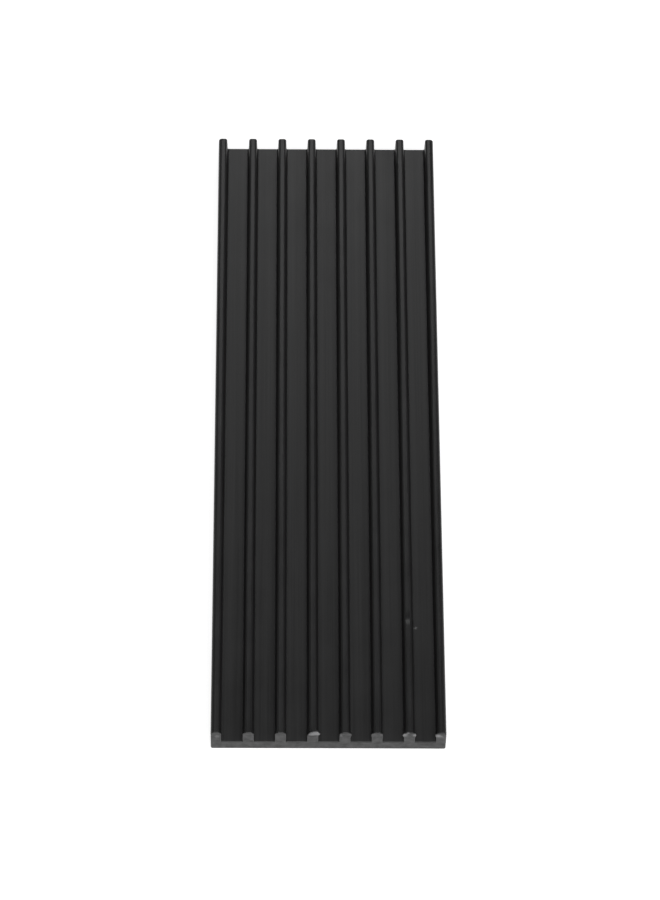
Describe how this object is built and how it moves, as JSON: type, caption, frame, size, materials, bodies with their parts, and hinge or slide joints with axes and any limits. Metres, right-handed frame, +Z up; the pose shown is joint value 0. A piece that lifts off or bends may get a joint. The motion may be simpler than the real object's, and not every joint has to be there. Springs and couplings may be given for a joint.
{
  "type": "ssd heat sink",
  "caption": "Flat finned aluminium bar that bonds to a slim solid state drive and sheds its heat into the air.",
  "frame": {"origin": "middle of the flat underside, the face that bonds to the drive", "axes": "+Y along the fins, towards the end that the picture shows at the top; +Z up, out of the fins' crests; +X across the fins, to the right in the picture"},
  "size_m": [0.022, 0.07, 0.003],
  "materials": {
    "black_anodised_aluminium": "matte black anodised"
  },
  "bodies": {
    "root": {"heat_sink": "black_anodised_aluminium"}
  },
  "joints": []
}
